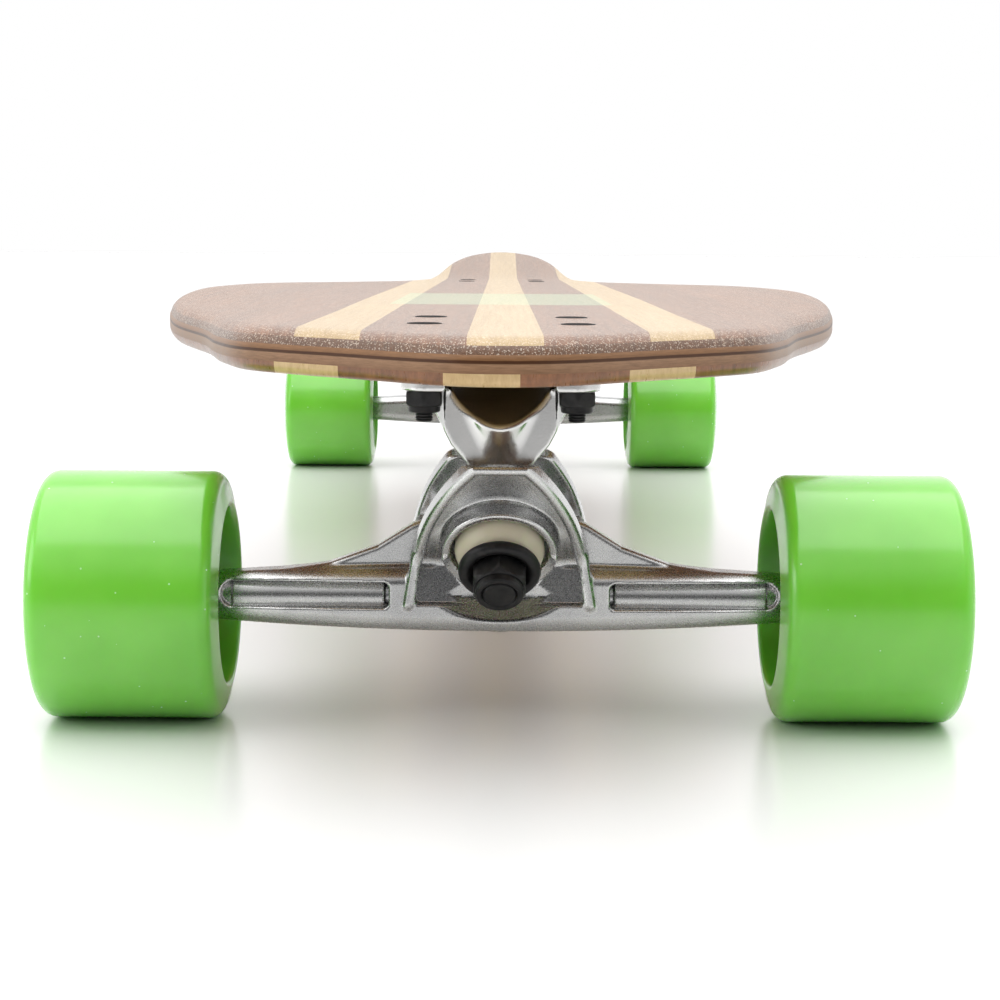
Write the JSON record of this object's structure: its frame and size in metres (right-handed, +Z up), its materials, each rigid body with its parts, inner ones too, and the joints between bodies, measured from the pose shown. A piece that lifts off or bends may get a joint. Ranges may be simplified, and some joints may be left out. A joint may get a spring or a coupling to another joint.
{
  "type": "longboard skateboard",
  "caption": "Pintail longboard skateboard: striped laminated wood deck on reverse kingpin trucks with wide translucent urethane wheels.",
  "frame": {"origin": "on the ground below the middle of the deck's length and width", "axes": "+Z up, +Y from the nose to the tail, +X to the right seen from the nose"},
  "size_m": [0.2586, 1.067, 0.1298],
  "materials": {
    "walnut_veneer": "satin",
    "maple_core": "satin",
    "striped_veneer": "satin",
    "grit_coat": "gloss",
    "cast_aluminium": "satin",
    "axle_steel": "satin",
    "black_steel": "satin",
    "bushing_urethane": "satin",
    "pivot_urethane": "matte",
    "wheel_urethane": "gloss",
    "wheel_core": "gloss",
    "bearing_steel": "polished"
  },
  "bodies": {
    "board": {"deck_core": "maple_core", "deck_bottom_veneer": "striped_veneer", "deck_top_veneer": "walnut_veneer", "grip_coat": "grit_coat", "front_baseplate": "cast_aluminium", "front_pivot_cup": "pivot_urethane", "front_kingpin": "black_steel", "front_kingpin_nut": "black_steel", "front_washer_boardside": "black_steel", "front_washer_roadside": "black_steel", "front_bushing_boardside": "bushing_urethane", "front_bushing_roadside": "bushing_urethane", "front_mounting_bolts": "black_steel", "front_mounting_nuts": "black_steel", "rear_baseplate": "cast_aluminium", "rear_pivot_cup": "pivot_urethane", "rear_kingpin": "black_steel", "rear_kingpin_nut": "black_steel", "rear_washer_boardside": "black_steel", "rear_washer_roadside": "black_steel", "rear_bushing_boardside": "bushing_urethane", "rear_bushing_roadside": "bushing_urethane", "rear_mounting_bolts": "black_steel", "rear_mounting_nuts": "black_steel"},
    "front_truck": {"front_hanger": "cast_aluminium", "front_axle": "axle_steel", "wheel_fl_bearing_inner": "bearing_steel", "wheel_fl_bearing_spacer": "axle_steel", "wheel_fl_speed_washers": "axle_steel", "wheel_fl_axle_nut": "axle_steel", "wheel_fr_bearing_inner": "bearing_steel", "wheel_fr_bearing_spacer": "axle_steel", "wheel_fr_speed_washers": "axle_steel", "wheel_fr_axle_nut": "axle_steel"},
    "rear_truck": {"rear_hanger": "cast_aluminium", "rear_axle": "axle_steel", "wheel_rl_bearing_inner": "bearing_steel", "wheel_rl_bearing_spacer": "axle_steel", "wheel_rl_speed_washers": "axle_steel", "wheel_rl_axle_nut": "axle_steel", "wheel_rr_bearing_inner": "bearing_steel", "wheel_rr_bearing_spacer": "axle_steel", "wheel_rr_speed_washers": "axle_steel", "wheel_rr_axle_nut": "axle_steel"},
    "wheel_fl": {"wheel_fl_tyre": "wheel_urethane", "wheel_fl_core": "wheel_core", "wheel_fl_bearing_outer": "bearing_steel", "wheel_fl_bearing_balls": "bearing_steel"},
    "wheel_fr": {"wheel_fr_tyre": "wheel_urethane", "wheel_fr_core": "wheel_core", "wheel_fr_bearing_outer": "bearing_steel", "wheel_fr_bearing_balls": "bearing_steel"},
    "wheel_rl": {"wheel_rl_tyre": "wheel_urethane", "wheel_rl_core": "wheel_core", "wheel_rl_bearing_outer": "bearing_steel", "wheel_rl_bearing_balls": "bearing_steel"},
    "wheel_rr": {"wheel_rr_tyre": "wheel_urethane", "wheel_rr_core": "wheel_core", "wheel_rr_bearing_outer": "bearing_steel", "wheel_rr_bearing_balls": "bearing_steel"}
  },
  "joints": [
    {"name": "front_steer", "type": "hinge", "parent": "board", "child": "front_truck", "pos_m": [0, -0.43537, 0.05637], "axis": [0, -0.6428, 0.766], "range_deg": [-15, 15], "stiffness_Nm_per_rad": 40, "deforming": ["front_bushing_boardside", "front_bushing_roadside"]},
    {"name": "rear_steer", "type": "hinge", "parent": "board", "child": "rear_truck", "pos_m": [0, 0.25937, 0.05637], "axis": [0, 0.6428, 0.766], "range_deg": [-15, 15], "stiffness_Nm_per_rad": 40, "deforming": ["rear_bushing_boardside", "rear_bushing_roadside"]},
    {"name": "wheel_fl_spin", "type": "hinge", "parent": "front_truck", "child": "wheel_fl", "pos_m": [0, -0.4305, 0.035], "axis": [1, 0, 0], "continuous": true},
    {"name": "wheel_fr_spin", "type": "hinge", "parent": "front_truck", "child": "wheel_fr", "pos_m": [0, -0.4305, 0.035], "axis": [1, 0, 0], "continuous": true},
    {"name": "wheel_rl_spin", "type": "hinge", "parent": "rear_truck", "child": "wheel_rl", "pos_m": [0, 0.2545, 0.035], "axis": [1, 0, 0], "continuous": true},
    {"name": "wheel_rr_spin", "type": "hinge", "parent": "rear_truck", "child": "wheel_rr", "pos_m": [0, 0.2545, 0.035], "axis": [1, 0, 0], "continuous": true}
  ]
}
